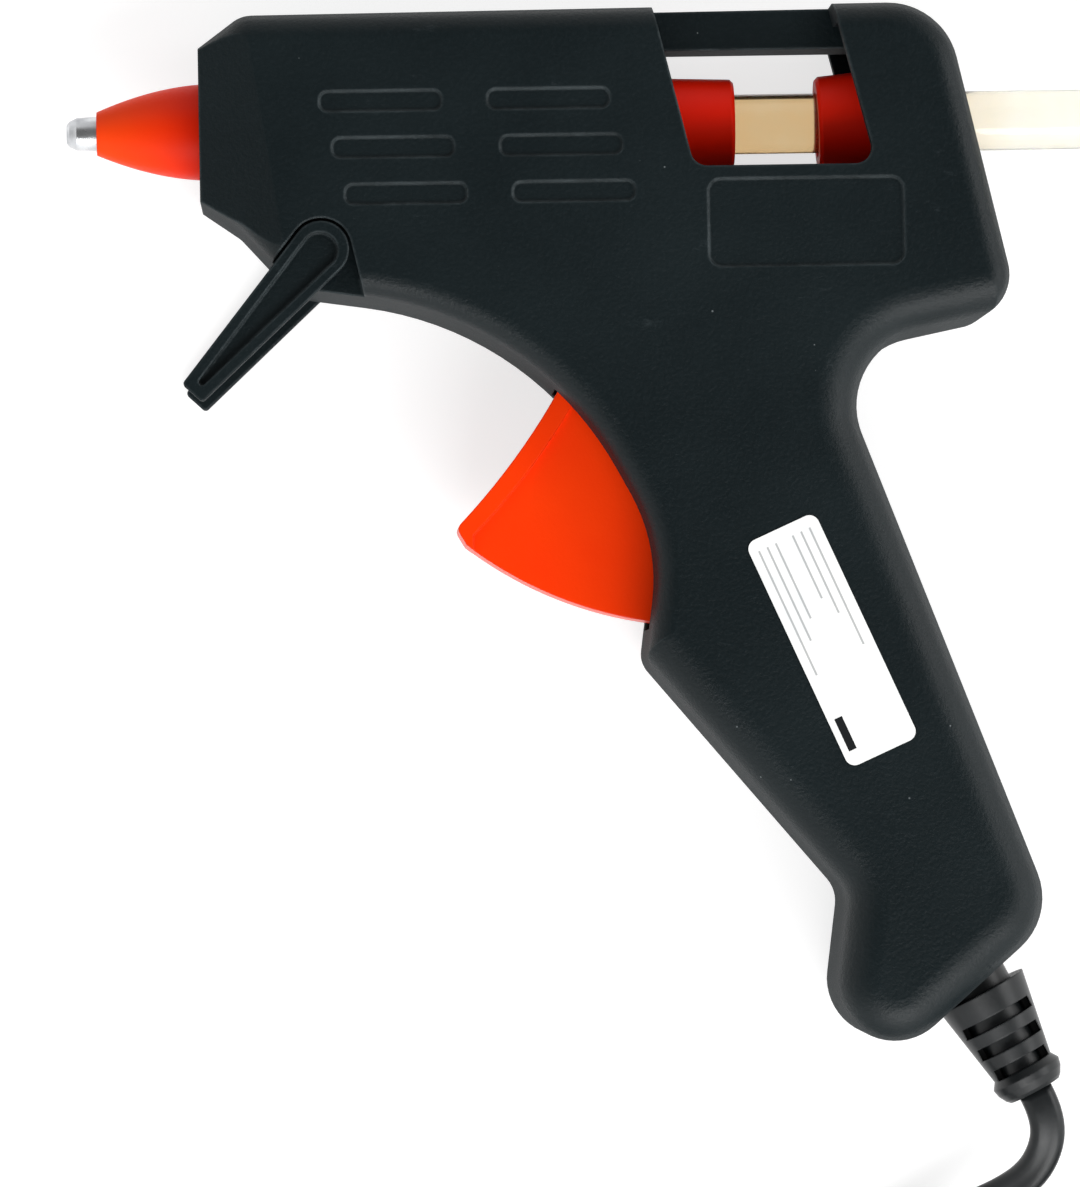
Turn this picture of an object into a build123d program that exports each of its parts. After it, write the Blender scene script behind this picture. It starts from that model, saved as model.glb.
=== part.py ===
from build123d import *
import math
import os

# A small hot-melt glue gun with a trigger feed, a folding stand and a mains lead.
# It lies on its right side. Construction frame, in millimetres: the origin is on the
# barrel's axis at the housing's front face, +X runs to the rear, +Y from the handle up
# to the barrel, +Z out of the left side, and the table is z = 0. The export moves the
# origin to the middle of the gun's own box, on the table.

# ---- housing ----
WIDTH = 26.0  # over both shells
WALL = 2.2  # round the outline
SIDE_WALL = 2.0  # the two flat sides
EDGE_ROUND = 3.0  # between the sides and the outline
GRIP_ROUND = 5.0  # the same edge, softer round the handle
MID = WIDTH / 2  # height of the parting plane
TOP_Y = 13.45  # the barrel's top edge
FRONT_HALF = 9.1  # half height of the flat front face
TAPER_LENGTH = 9.0  # how far back the sides start to narrow to the front
TAPER_DEPTH = 2.2  # how much each side has narrowed at the front

# The housing's outline, clockwise from the top of the front face: x, y, corner radius.
OUTLINE = [
    (0.0, FRONT_HALF, 0),  # front face, top
    (5.2, TOP_Y - 0.5, 3.6),  # barrel top, front
    (88.7, TOP_Y, 8.5),  # rear top corner
    (97.15, -23.3, 5.4),  # rear overhang
    (74.5, -27.9, 9.0),  # web of the hand under the overhang
    (100.2, -95.6, 8.0),  # heel of the handle
    (71.5, -120.7, 7.05),  # round foot of the handle
    (75.3, -92.3, 4.0),  # waist above the foot
    (52.0, -64.5, 3.6),  # corner below the trigger
    (53.9, -50.5, 21.0),  # behind the trigger
    (39.5, -23.7, 40.0),  # long curve to the belly
    (11.2, -19.6, 4.0),  # belly, front
    (4.6, -12.3, 3.8),  # front, low
    (0.0, -FRONT_HALF, 0),  # front face, bottom
]
GRIP = slice(3, 9)  # the corners from the overhang round the handle to below the trigger
GRIP_REACH = 40.0  # how far the grip's form runs on past those corners
REAR_WALL_X = 91.6  # where the rear wall crosses the barrel's axis

# ---- window over the feed, open to the top beside a bridge bar ----
WINDOW_TOP = (53.9, 75.4)  # x of its sides at the barrel's top edge
WINDOW_BOTTOM = (58.6, 80.3)  # x of its sides at the sill
WINDOW_SILL = -5.9
WINDOW_ROUND = 2.0
BRIDGE_UNDER = 8.6  # underside of the bridge bar
BRIDGE_WIDTH = 7.6

# ---- pads on the sides ----
PAD_DEPTH = 0.3
VENT_LENGTH = 14.5
VENT_HEIGHT = 2.4
VENT_ROUND = 1.0
VENT_FIRST = (14.3, 3.55)  # left end and top of the first row
VENT_STEP = (1.43, -5.52)  # from one row to the next
VENT_COLUMN = 19.9
VENT_ROWS = 3
PANEL = (60.2, 83.4, -17.9, -7.5)  # low x, high x, low y, high y
PANEL_ROUND = 1.5

# ---- label ----
LABEL_SIZE = (29.3, 9.05)
LABEL_THICK = 0.15
LABEL_ROUND = 1.2
LABEL_CENTRE = (73.9, -62.4)
LABEL_TURN = -66.0

# ---- fits ----
RUN_GAP = 0.05  # radial gap of a pin that turns in its bore
SIDE_GAP = 0.3  # beside a piece that moves between walls

# ---- glue stick ----
STICK_RADIUS = 3.6
STICK_LENGTH = 100.0
STICK_FRONT = 40.0  # its melted end, in the chamber
STICK_GAP = 0.15  # round the stick in the chamber and the sleeve

# ---- melt chamber and nozzle ----
CHAMBER_FRONT = 5.0
CHAMBER_RADIUS = 6.5
CHAMBER_BODY_END = 40.0
SPIGOT_RADIUS = 4.9
SPIGOT_LENGTH = 7.0
THREAD_RADIUS = 3.4
THREAD_LENGTH = 6.0
MELT_RADIUS = 1.6  # the narrow passage to the nozzle
MELT_CONE = (13.0, 20.0)
TIP_LENGTH = 3.6  # bare metal in front of the cover
TIP_RADIUS = 2.1
ORIFICE_RADIUS = 0.75
NOZZLE_RADIUS = 4.2  # where it passes the front wall
COVER_LENGTH = 12.4
COVER_TIP_RADIUS = 2.6
COVER_RADIUS = 5.75
COVER_NECK = 5.0
COVER_FLANGE = 6.6
COVER_FLANGE_THICK = 2.0

# ---- heater under the chamber ----
HEATER_START = 18.0
HEATER_LENGTH = 20.0
HEATER_WIDTH = 8.0
PAD_DROP = 6.6  # the chamber's flat, below the axis
FILM_THICK = 0.2
ELECTRODE_THICK = 0.4
PTC_THICK = 1.4
TAB_LENGTH = 4.5
CLIP_THICK = 0.5
CLIP_WIDTH = 8.0

# ---- inlet sleeve ----
SLEEVE_RADIUS = 6.3
SLEEVE_END_RADIUS = 5.4
SLEEVE_END = 64.0
SLEEVE_SHOULDER = 50.0
CLAMP_WIRE = 0.5
CLAMP_X = 47.8

# ---- feed ring, link and trigger ----
RING_FRONT = 74.0
RING_LENGTH = 10.0
RING_RADIUS = (5.75, 6.35)  # front and rear
RING_GAP = 0.35  # round the stick
RING_LEAN = 2.2
PIVOT = (55.0, -26.0)
PIVOT_RADIUS = 2.0
PIVOT_BOSS = 4.2
TRIGGER_TRAVEL = 23.0
TRIGGER_WIDTH = 12.4
TRIGGER_RECESS = 0.8  # each side face lies this far inside the finger pad
TRIGGER_BAND = 2.2  # width of the finger pad's edge
TRIGGER_RUN_OUT = 1.0  # how far the sunk faces run on past the lower edge
TRIGGER_FRONT = [(44.3, -28.2), (37.4, -39.3), (29.8, -48.2)]  # its hollow front, downwards
TRIGGER_INWARD = [(0.85, -0.53), (0.78, -0.63), (0.9, -0.4)]  # from the front into the pad
TRIGGER_REACH = 33.7  # pivot to the lower edge
TRIGGER_FLATTER = 0.4  # its ends lie this much further out, and its middle this much nearer
TRIGGER_SWEEP = (225.3, 248.0, 272.0)  # angles of the lower edge about the pivot
TRIGGER_INSIDE = [(60.0, -51.0), (60.0, -30.0), (52.6, -21.9)]  # its back, upwards
TRIGGER_ROOM = [(39.8, -35.1), (44.6, -27.4), (52.0, -36.0), (57.5, -48.0)]  # slot, front to back
TRIGGER_ROOM_FOOT = (58.0, 48.0)  # x of the slot's two lower corners
ARM_LENGTH = 16.5
ARM_THICK = 4.0
ARM_HALF_WIDTH = 2.2
LINK_THICK = 1.8
LINK_LENGTH = 19.2
LINK_PIN_RADIUS = 1.2
LINK_EYE = 2.7
SLOT_GAP = 0.15

# ---- extension spring that pulls the feed ring back ----
SPRING_POST = 89.8  # x of the post at its fixed end
POST_RADIUS = 1.2
SPRING_LEVEL = 8.4
SPRING_RADIUS = 2.0
SPRING_WIRE = 0.35
SPRING_TURNS = 8

# ---- stand ----
STAND_HUB = (14.2, -15.1)
STAND_HUB_RADIUS = 3.35
STAND_REACH = 22.85  # hub to the squarely cut tip
STAND_TIP_HALF = 1.65
STAND_TIP_ROUND = 0.5
STAND_ANGLE = 227.4  # in use, from +X
STAND_SWING = 60.0
STAND_THICK = 2.2
STAND_FLUSH = 0.1  # the legs lie this far under the sides
STAND_POCKET = 0.9
STAND_SKIN = 0.4  # left outside the axle's end
STAND_AXLE_RADIUS = 1.5
STAND_CLEAR = 0.35

# ---- screws that hold the shells ----
SCREWS = [(21.0, 9.2), (40.0, 9.3), (84.8, 8.6), (90.4, -18.2), (79.8, -57.5), (80.6, -103.0)]
SCREW_RADIUS = 1.3
SCREW_HEAD = (2.6, 1.8)  # radius and thickness
SCREW_SINK = 5.2  # depth of the head under the right side
SCREW_END = 21.0
BOSS_RADIUS = 2.3
WELL_WALL = 1.0

# ---- mains lead ----
LEAD_DIAMETER = 4.2
LEAD_EXIT = (91.5, -103.8)  # on the handle's sloping foot
LEAD_SLOPE = (0.462, -0.887)
BOOT_BORE = LEAD_DIAMETER / 2
BOOT_NECK = 3.9
BOOT_RINGS = [(0.9, 3.8, 5.6, 5.1), (5.2, 6.8, 4.9, 4.65), (8.3, 9.9, 4.3, 4.1)]
BOOT_RAIL = 0.7  # left at either side of the slots between the rings
BOOT_WEB = 0.5  # half of what is left between the slots above and below
BOOT_BULB = (11.3, 14.4, 4.4, 3.3)
BOOT_FLANGE = (-5.0, -2.9, 6.2)
INNER_LEAD = 16.0
CLAMP_AT = 10.5  # along the lead, inside the exit
CLAMP_SIZE = (4.0, 14.0, 2.0)
CLAMP_SCREW_SPAN = 9.4
CLAMP_SCREW_RADIUS = 1.1
WIRE_RADIUS = 0.8
CRIMP = (1.5, 8.0)  # radius and length
WIRE_UNDER = 1.1  # room between the crimps and the left side's wall
WIRE_LEVEL = WIDTH - SIDE_WALL - WIRE_UNDER - CRIMP[0]  # both wires run above the trigger
WIRE_PITCH = 3.4
WIRE_ROUTE = [(68.5, -52.0), (66.0, -34.0), (62.0, -18.5), (49.5, -12.5)]  # handle to barrel
WIRE_DROP = (3.0, 3.0, 2.0)  # from the last bend to the heater's tab

# The free lead: hand-chosen points from the boot to the coil, then from the coil to the plug.
LEAD_ROUTE = [
    (98.15, -116.57, 13.0),
    (99.52, -119.2, 13.0),
    (99.75, -123.2, 12.0),
    (97.6, -127.4, 9.6),
    (92.4, -130.4, 6.4),
    (84.2, -133.4, 3.6),
    (75.5, -136.4, 2.6),
    (66.0, -138.2, 2.6),
]
TAIL_ROUTE = [
    (91.4, -177.4, 6.7),
    (95.0, -170.6, 6.6),
    (101.6, -166.8, 6.9),
]
COIL_CENTRE = (66.0, -166.0)
COIL_RADIUS = (17.3, 29.9)
COIL_HEIGHT = 2 * LEAD_DIAMETER
TIE_THICK = 0.5
TIE_WIDTH = 7.0
TIE_ANGLE = 205.0

# ---- two-pin plug ----
PLUG_AT = TAIL_ROUTE[-1]
PLUG_TURN = 30.0
PLUG_LENGTH = 36.0
PLUG_FACE = (33.0, 13.8)
PLUG_TAIL = (11.0, 9.0)
PLUG_PIN_RADIUS = 2.0
PLUG_PIN_LENGTH = 19.0
PLUG_PIN_SPACING = 18.2
PLUG_ROOT = 1.4  # radius inside the sleeve and the body
PLUG_SLEEVE = 10.0  # length of the insulated part
PLUG_SINK = 6.0


def outline_face(corners):
    """The face inside a closed run of straight lines with rounded corners."""
    points = [(x, y) for x, y, _ in corners]
    return make_face(FilletPolyline(*points, radius=[r for _, _, r in corners], close=True))


def slab(face, low, high):
    """A flat face made solid between two heights."""
    return Pos(0, 0, low) * extrude(face, high - low)


def upright(x, y, radius, low, high):
    """A round post or hole along Z."""
    return Pos(x, y, low) * Cylinder(radius, high - low, align=(Align.CENTER, Align.CENTER, Align.MIN))


def turned(profile):
    """A solid of revolution about the barrel's axis, from (x, radius) points."""
    face = make_face(Polyline(*profile, close=True))
    return Pos(0, 0, MID) * revolve(face, Axis.X)


def along(start, slope, profile):
    """A solid of revolution about a line in the parting plane, from (distance, radius) points."""
    turn = math.degrees(math.atan2(slope[1], slope[0]))
    face = make_face(Polyline(*profile, close=True))
    return Pos(start[0], start[1], MID) * Rot(0, 0, turn) * revolve(face, Axis.X)


def block(low, high):
    """A box from its lowest to its highest corner."""
    size = [b - a for a, b in zip(low, high)]
    return Pos(*low) * Box(*size, align=(Align.MIN, Align.MIN, Align.MIN))


def both_sides(solid):
    """The solid and its mirror image in the parting plane."""
    return solid + mirror(solid, about=Plane.XY.offset(MID))


def around(centre, angle, radius):
    """The point at an angle and a radius about a centre."""
    turn = math.radians(angle)
    return (centre[0] + radius * math.cos(turn), centre[1] + radius * math.sin(turn))


# ---------------------------------------------------------------- housing


def window_face(high, grow=0.0):
    """The window's sloping outline up to a height, made larger or smaller all round."""
    span = TOP_Y - WINDOW_SILL
    left, right = [
        lambda y, a=a, b=b: b + (a - b) * (y - WINDOW_SILL) / span
        for a, b in zip(WINDOW_TOP, WINDOW_BOTTOM)
    ]
    sill = WINDOW_SILL - grow
    corners = [
        (left(high) - grow, high, 0),
        (right(high) + grow, high, 0),
        (right(sill) + grow, sill, WINDOW_ROUND),
        (left(sill) - grow, sill, WINDOW_ROUND),
    ]
    return outline_face(corners)


def rounded_slab(corners, radius):
    """An outline made solid, with the edges between it and the two sides rounded."""
    solid = slab(outline_face(corners), 0, WIDTH)
    rims = [
        edge
        for face in (solid.faces().sort_by(Axis.Z)[0], solid.faces().sort_by(Axis.Z)[-1])
        for edge in face.edges()
        if edge.center().X > 0.01
    ]
    return fillet(rims, radius)


def grip_form():
    """The handle's outline run on past the barrel, so that only the handle's edges are softer."""
    corners = OUTLINE[GRIP]
    rear, front = [
        Vector(*corners[i][:2]) + (Vector(*corners[i][:2]) - Vector(*corners[j][:2])).normalized() * GRIP_REACH
        for i, j in ((0, 1), (-1, -2))
    ]
    high = TOP_Y + GRIP_REACH
    run_on = [(front.X, front.Y, 0), (-GRIP_REACH, front.Y, 0), (-GRIP_REACH, high, 0), (rear.X, high, 0)]
    return rounded_slab([(rear.X, rear.Y, 0)] + corners[1:-1] + run_on, GRIP_ROUND)


def housing_block():
    """The closed outer form of both shells, rounded along its edges and narrowed to the front."""
    solid = rounded_slab(OUTLINE, EDGE_ROUND) & grip_form()
    crease_top = Vector(TAPER_LENGTH * 0.6, TOP_Y, WIDTH)
    crease_low = Vector(TAPER_LENGTH, -FRONT_HALF, WIDTH)
    front = Vector(0, 0, WIDTH - TAPER_DEPTH)
    normal = (crease_low - crease_top).cross(front - crease_top).normalized()
    if normal.Z < 0:
        normal = normal * -1
    plane = Plane(origin=crease_top, x_dir=(crease_low - crease_top).normalized(), z_dir=normal)
    cutter = plane * Box(120, 120, 20, align=(Align.CENTER, Align.CENTER, Align.MIN))
    return solid - both_sides(cutter & block((-5, -60, MID), (TAPER_LENGTH + 5, 40, WIDTH + 10)))


def housing_cavity():
    inside = offset(outline_face(OUTLINE), -WALL)
    deep = slab(inside, SIDE_WALL, WIDTH - SIDE_WALL)
    shallow = SIDE_WALL + TAPER_DEPTH
    front = block((-1, -40, -1), (TAPER_LENGTH, 40, WIDTH + 1))
    return (deep - front) + (slab(inside, shallow, WIDTH - shallow) & front)


def stand_leg_face(angle, grow=0.0):
    """A leg's outline: a round hub drawn out to a narrower, squarely cut tip."""
    edges = (Pos(*STAND_HUB) * Circle(STAND_HUB_RADIUS + grow)).edges()
    tip = around(STAND_HUB, angle, STAND_REACH - STAND_TIP_ROUND)
    for side in (90, -90):
        corner = around(tip, angle + side, STAND_TIP_HALF - STAND_TIP_ROUND)
        edges += (Pos(*corner) * Circle(STAND_TIP_ROUND + grow)).edges()
    return make_hull(edges)


def stand_sweep_face(grow):
    """What the leg covers as it swings, up to the housing's edge."""
    reach = STAND_REACH * 0.8
    corners = [STAND_HUB] + [
        around(STAND_HUB, STAND_ANGLE + STAND_SWING * i / 4, reach) for i in range(5)
    ]
    fan = make_face(Polyline(*corners, close=True))
    swung = STAND_ANGLE + STAND_SWING
    return stand_leg_face(STAND_ANGLE, grow) + stand_leg_face(swung, grow) + fan


STAND_FLOOR = WIDTH - STAND_FLUSH - STAND_THICK - 0.2  # the recess that the left leg folds in


def pad_faces():
    """The vent-like pads and the rating panel of one side."""
    faces = []
    for row in range(VENT_ROWS):
        for column in range(2):
            x = VENT_FIRST[0] + row * VENT_STEP[0] + column * VENT_COLUMN + VENT_LENGTH / 2
            y = VENT_FIRST[1] + row * VENT_STEP[1] - VENT_HEIGHT / 2
            faces.append(Pos(x, y) * RectangleRounded(VENT_LENGTH, VENT_HEIGHT, VENT_ROUND))
    low_x, high_x, low_y, high_y = PANEL
    panel = RectangleRounded(high_x - low_x, high_y - low_y, PANEL_ROUND)
    faces.append(Pos((low_x + high_x) / 2, (low_y + high_y) / 2) * panel)
    return faces


def screw_post(x, y):
    """The boss round one screw in both shells, without its holes."""
    well = SCREW_HEAD[0] + WELL_WALL
    seat = SCREW_SINK + SCREW_HEAD[1]
    return upright(x, y, BOSS_RADIUS, SIDE_WALL, WIDTH - SIDE_WALL) + upright(
        x, y, well, SIDE_WALL, seat + WELL_WALL
    )


def screw_holes(x, y):
    seat = SCREW_SINK + SCREW_HEAD[1]
    return upright(x, y, SCREW_HEAD[0], -1, seat) + upright(x, y, SCREW_RADIUS, seat, SCREW_END)


def collar_rib(start, low, radius):
    """A cross wall that holds a round piece on the barrel's axis."""
    plate = block((start, low, 0), (start + 1.8, TOP_Y, WIDTH))
    ring = Pos(start + 0.9, 0, MID) * Rot(0, 90, 0) * Cylinder(radius, 4)
    return plate - ring


def trigger_slot():
    """The opening in the handle's front wall that the trigger moves through."""
    half = TRIGGER_WIDTH / 2 + SIDE_GAP
    foot = PIVOT[1] - TRIGGER_REACH - TRIGGER_FLATTER - 0.5
    corners = TRIGGER_ROOM + [(x, foot) for x in TRIGGER_ROOM_FOOT]
    return slab(make_face(Polyline(*corners, close=True)), MID - half, MID + half)


def clamp_points():
    """The clamp's middle on the lead, and its two screws."""
    slope = Vector(*LEAD_SLOPE).normalized()
    middle = Vector(*LEAD_EXIT) - slope * CLAMP_AT
    across = Vector(-slope.Y, slope.X) * (CLAMP_SCREW_SPAN / 2)
    return middle, [middle + across, middle - across]


CLAMP_LEVEL = MID + LEAD_DIAMETER / 2  # underside of the clamp plate


def shells():
    """The left and the right half of the housing."""
    outer = housing_block()
    body = outer - housing_cavity()

    inner = collar_rib(9.5, -14, CHAMBER_RADIUS)
    inner += collar_rib(44.0, -5.5, SLEEVE_RADIUS)
    for x, y in SCREWS:
        inner += screw_post(x, y)
    boss_top = MID - TRIGGER_WIDTH / 2 - SIDE_GAP
    inner += both_sides(upright(*PIVOT, PIVOT_BOSS, SIDE_WALL, boss_top))
    recess_wall = slab(stand_sweep_face(STAND_CLEAR + 1.8), STAND_FLOOR - 1.8, STAND_FLOOR)
    inner += both_sides(recess_wall)
    body += inner & outer

    # holes and recesses that both halves share
    axis_hole = Rot(0, 90, 0) * Cylinder(COVER_NECK, 8)
    body -= Pos(0, 0, MID) * axis_hole
    rear_hole = Rot(0, 90, 0) * Cylinder(STICK_RADIUS + RING_GAP, 12)
    body -= Pos(REAR_WALL_X, 0, MID) * rear_hole
    body -= both_sides(slab(stand_sweep_face(STAND_CLEAR), STAND_FLOOR, WIDTH + 1))
    body -= upright(*STAND_HUB, STAND_AXLE_RADIUS + RUN_GAP, -1, WIDTH + 1)
    body -= upright(*PIVOT, PIVOT_RADIUS, SIDE_WALL, WIDTH - SIDE_WALL)
    for x, y in SCREWS:
        body -= screw_holes(x, y)
    body -= trigger_slot()
    body -= slab(window_face(BRIDGE_UNDER), -1, WIDTH + 1)
    body -= both_sides(slab(window_face(TOP_Y + 2), MID + BRIDGE_WIDTH / 2, WIDTH + 1))
    nest = BOOT_RINGS[0][2] + 0.1  # the boot's first ring sits in a shallow nest
    neck = along(
        LEAD_EXIT,
        LEAD_SLOPE,
        [(-12, 0), (12, 0), (12, nest), (0.6, nest), (0.6, BOOT_NECK), (-12, BOOT_NECK)],
    )
    flange_room = along(
        LEAD_EXIT,
        LEAD_SLOPE,
        [(-8, 0), (BOOT_FLANGE[1], 0), (BOOT_FLANGE[1], BOOT_FLANGE[2]), (-8, BOOT_FLANGE[2])],
    )
    body -= neck + flange_room

    # the bridge bar belongs to the right half
    half = BRIDGE_WIDTH / 2
    bar = slab(window_face(TOP_Y + 2, 1.5), MID - half, MID + half)
    bar = bar & block((0, BRIDGE_UNDER, 0), (120, TOP_Y + 2, WIDTH)) & outer
    left = (body & block((-20, -130, MID), (120, 40, WIDTH + 2))) - bar
    right = (body & block((-20, -130, -2), (120, 40, MID))) + bar

    # the right half also carries the spring's post and the lead clamp's two posts
    right += upright(SPRING_POST, FEED_PIN[1], POST_RADIUS, SIDE_WALL, SPRING_LEVEL + 1.2)
    for point in clamp_points()[1]:
        right += upright(point.X, point.Y, 2.3, SIDE_WALL, CLAMP_LEVEL)
        right -= upright(point.X, point.Y, CLAMP_SCREW_RADIUS, CLAMP_LEVEL - 7, CLAMP_LEVEL)

    for face in pad_faces():
        left -= slab(face, WIDTH - PAD_DEPTH, WIDTH + 1)
        right -= slab(face, -1, PAD_DEPTH)
    return left, right


def housing_screws():
    """Six self-tapping screws with a cross recess."""
    screws = []
    for x, y in SCREWS:
        head = upright(x, y, SCREW_HEAD[0] - 0.1, SCREW_SINK, SCREW_SINK + SCREW_HEAD[1])
        shank = upright(x, y, SCREW_RADIUS, SCREW_SINK + SCREW_HEAD[1], SCREW_END - 1)
        cross = Pos(x, y, SCREW_SINK) * (Box(3.2, 0.7, 1.6) + Box(0.7, 3.2, 1.6))
        screws.append(head + shank - cross)
    return screws


def rating_label():
    face = Rot(0, 0, LABEL_TURN) * RectangleRounded(*LABEL_SIZE, LABEL_ROUND)
    return slab(Pos(*LABEL_CENTRE) * face, WIDTH, WIDTH + LABEL_THICK)


# ---------------------------------------------------------------- hot end


def nozzle_tip():
    cone_end = COVER_FLANGE_THICK + WALL + 0.2
    front = -COVER_LENGTH - TIP_LENGTH
    return turned(
        [
            (front, ORIFICE_RADIUS),
            (front, 1.15),
            (front + 0.35, 1.55),
            (front + 1.2, TIP_RADIUS - 0.15),
            (-COVER_LENGTH, TIP_RADIUS),
            (0, NOZZLE_RADIUS),
            (cone_end, NOZZLE_RADIUS),
            (cone_end, COVER_NECK),
            (CHAMBER_FRONT, COVER_NECK),
            (CHAMBER_FRONT, THREAD_RADIUS),
            (CHAMBER_FRONT + THREAD_LENGTH, THREAD_RADIUS),
            (CHAMBER_FRONT + THREAD_LENGTH, MELT_RADIUS),
            (-COVER_LENGTH, MELT_RADIUS),
            (-COVER_LENGTH - 1.4, ORIFICE_RADIUS),
        ]
    )


def nozzle_cover():
    """A silicone ogive that grips the nozzle and buttons into the front wall."""
    face_line = [
        Line((-COVER_LENGTH, TIP_RADIUS), (-COVER_LENGTH, COVER_TIP_RADIUS)),
        Spline(
            (-COVER_LENGTH, COVER_TIP_RADIUS),
            (-COVER_LENGTH * 0.66, (COVER_TIP_RADIUS + COVER_RADIUS) / 2),
            (-COVER_LENGTH * 0.35, COVER_RADIUS * 0.9),
            (0, COVER_RADIUS),
        ),
        Polyline(
            (0, COVER_RADIUS),
            (0, COVER_NECK),
            (WALL, COVER_NECK),
            (WALL, COVER_FLANGE),
            (WALL + COVER_FLANGE_THICK, COVER_FLANGE),
            (WALL + COVER_FLANGE_THICK, NOZZLE_RADIUS),
            (0, NOZZLE_RADIUS),
            (-COVER_LENGTH, TIP_RADIUS),
        ),
    ]
    return Pos(0, 0, MID) * revolve(make_face(Curve() + face_line), Axis.X)


def melt_chamber():
    bore = STICK_RADIUS + STICK_GAP
    spigot_end = CHAMBER_BODY_END + SPIGOT_LENGTH
    thread_end = CHAMBER_FRONT + THREAD_LENGTH
    body = turned(
        [
            (CHAMBER_FRONT, THREAD_RADIUS),
            (CHAMBER_FRONT, CHAMBER_RADIUS),
            (CHAMBER_BODY_END, CHAMBER_RADIUS),
            (CHAMBER_BODY_END, SPIGOT_RADIUS),
            (spigot_end, SPIGOT_RADIUS),
            (spigot_end, bore),
            (MELT_CONE[1], bore),
            (MELT_CONE[0], MELT_RADIUS),
            (thread_end, MELT_RADIUS),
            (thread_end, THREAD_RADIUS),
        ]
    )
    half = HEATER_WIDTH / 2
    pad = block(
        (HEATER_START, -PAD_DROP, MID - half),
        (HEATER_START + HEATER_LENGTH, -bore - 0.8, MID + half),
    )
    return body + pad


def heater_stack():
    """Film, electrode, PTC pill, electrode and film, pressed under the chamber."""
    half = HEATER_WIDTH / 2
    end = HEATER_START + HEATER_LENGTH
    plates, top = [], -PAD_DROP
    for thick in (FILM_THICK, ELECTRODE_THICK, PTC_THICK, ELECTRODE_THICK, FILM_THICK):
        plates.append(block((HEATER_START, top - thick, MID - half), (end, top, MID + half)))
        top -= thick
    film_upper, upper, pill, lower, film_lower = plates
    y_upper = -PAD_DROP - FILM_THICK
    y_lower = y_upper - ELECTRODE_THICK - PTC_THICK
    upper += block((end, y_upper - ELECTRODE_THICK, MID + 1), (end + TAB_LENGTH, y_upper, MID + half))
    lower += block((end, y_lower - ELECTRODE_THICK, MID - half), (end + TAB_LENGTH, y_lower, MID - 1))
    return film_upper, upper, pill, lower, film_lower, top


def heater_clip(bottom):
    """A spring band round the chamber and the stack."""
    start = HEATER_START + (HEATER_LENGTH - CLIP_WIDTH) / 2
    corner = HEATER_WIDTH / 2
    ring = Circle(CHAMBER_RADIUS)
    foot = Pos(0, bottom / 2) * Rectangle(2 * corner, -bottom)
    inside = make_hull(ring.edges() + foot.edges())
    band = offset(inside, CLIP_THICK) - inside
    # the band is drawn across the barrel and stands along it
    plane = Plane(origin=(start, 0, MID), x_dir=(0, 0, -1), z_dir=(1, 0, 0))
    return extrude(plane * band, CLIP_WIDTH)


def inlet_sleeve():
    bore = STICK_RADIUS + STICK_GAP
    spigot_end = CHAMBER_BODY_END + SPIGOT_LENGTH
    return turned(
        [
            (CHAMBER_BODY_END, SPIGOT_RADIUS),
            (CHAMBER_BODY_END, SLEEVE_RADIUS),
            (SLEEVE_SHOULDER, SLEEVE_RADIUS),
            (SLEEVE_SHOULDER + 5, SLEEVE_END_RADIUS + 0.25),
            (SLEEVE_END - 0.4, SLEEVE_END_RADIUS),
            (SLEEVE_END, SLEEVE_END_RADIUS - 0.4),
            (SLEEVE_END, bore + 0.5),
            (SLEEVE_END - 1.5, bore),
            (spigot_end, bore),
            (spigot_end, SPIGOT_RADIUS),
        ]
    )


def sleeve_clamp():
    ring = Torus(SLEEVE_RADIUS + CLAMP_WIRE, CLAMP_WIRE)
    return Pos(CLAMP_X, 0, MID) * Rot(0, 90, 0) * ring


def glue_stick():
    body = Cylinder(STICK_RADIUS, STICK_LENGTH, align=(Align.CENTER, Align.CENTER, Align.MIN))
    body = fillet(body.edges().group_by(Axis.Z)[0], 1.2)
    return Pos(STICK_FRONT, 0, MID) * Rot(0, 90, 0) * body


# ---------------------------------------------------------------- feed

HALF_TRAVEL = TRIGGER_TRAVEL / 2
ARM_PIN = around(PIVOT, 90 - HALF_TRAVEL, ARM_LENGTH)
FEED_PIN = (ARM_PIN[0] + LINK_LENGTH, ARM_PIN[1])
FEED_STROKE = 2 * ARM_LENGTH * math.sin(math.radians(HALF_TRAVEL))
ARM_RISE = ARM_LENGTH * (1 - math.cos(math.radians(HALF_TRAVEL)))
LINK_LOW = MID + ARM_THICK / 2 + 0.2


def trigger_face(band=0.0, lip=0.0):
    """The trigger's side view, with its hollow front and its lower edge moved inwards."""
    start, middle, end = [
        (x + dx * band, y + dy * band)
        for (x, y), (dx, dy) in zip(TRIGGER_FRONT, TRIGGER_INWARD)
    ]
    reach = TRIGGER_REACH - lip
    first, second, last = TRIGGER_SWEEP
    first += math.degrees(band / reach)
    low_start, low_middle, low_end = [
        around(PIVOT, angle, reach + step)
        for angle, step in ((first, TRIGGER_FLATTER), (second, -TRIGGER_FLATTER), (last, TRIGGER_FLATTER))
    ]
    lines = [
        ThreePointArc(start, middle, end),
        Line(end, low_start),
        ThreePointArc(low_start, low_middle, low_end),
        Polyline(low_end, *TRIGGER_INSIDE, start),
    ]
    return make_face(Curve() + lines)


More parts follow.
